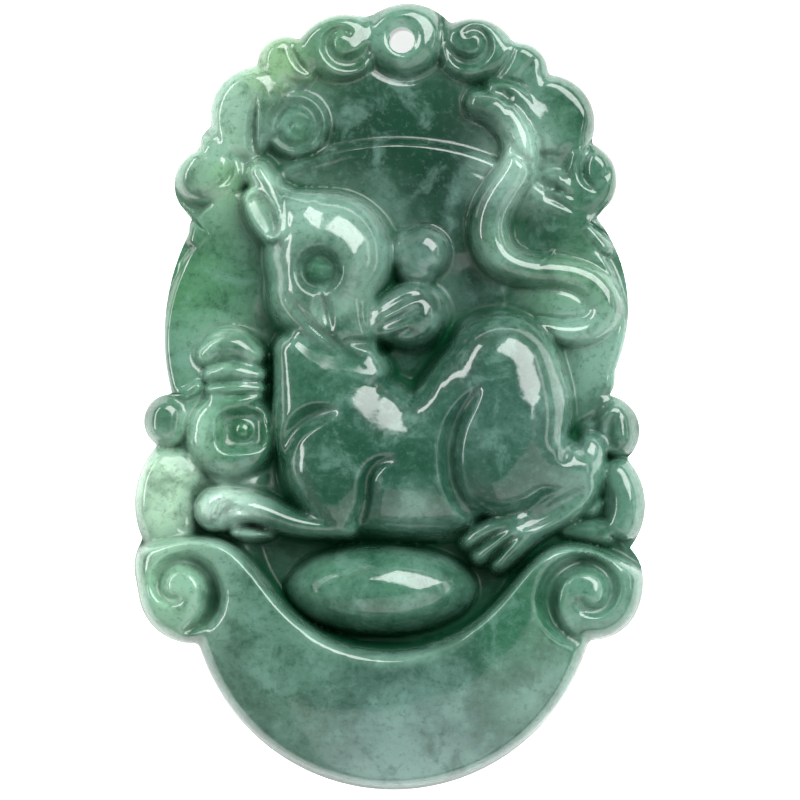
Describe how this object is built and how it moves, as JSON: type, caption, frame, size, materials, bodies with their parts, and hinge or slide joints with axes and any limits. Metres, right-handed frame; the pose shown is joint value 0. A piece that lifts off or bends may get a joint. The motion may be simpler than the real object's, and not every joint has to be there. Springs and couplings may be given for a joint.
{
  "type": "jade pendant",
  "caption": "Flat backed carved jade pendant: a rat in relief on a boat shaped ingot, framed by clouds, with a drilled hole for a neck cord at the top.",
  "frame": {"origin": "middle of the flat back, under the centre of the bounding box", "axes": "+X to the right of the carved face, +Y up towards the cord hole, +Z out of the carved face"},
  "size_m": [0.039, 0.06, 0.01],
  "materials": {
    "jade": "polished, translucent, mottled green"
  },
  "bodies": {
    "root": {"jade_pendant": "jade"}
  },
  "joints": []
}
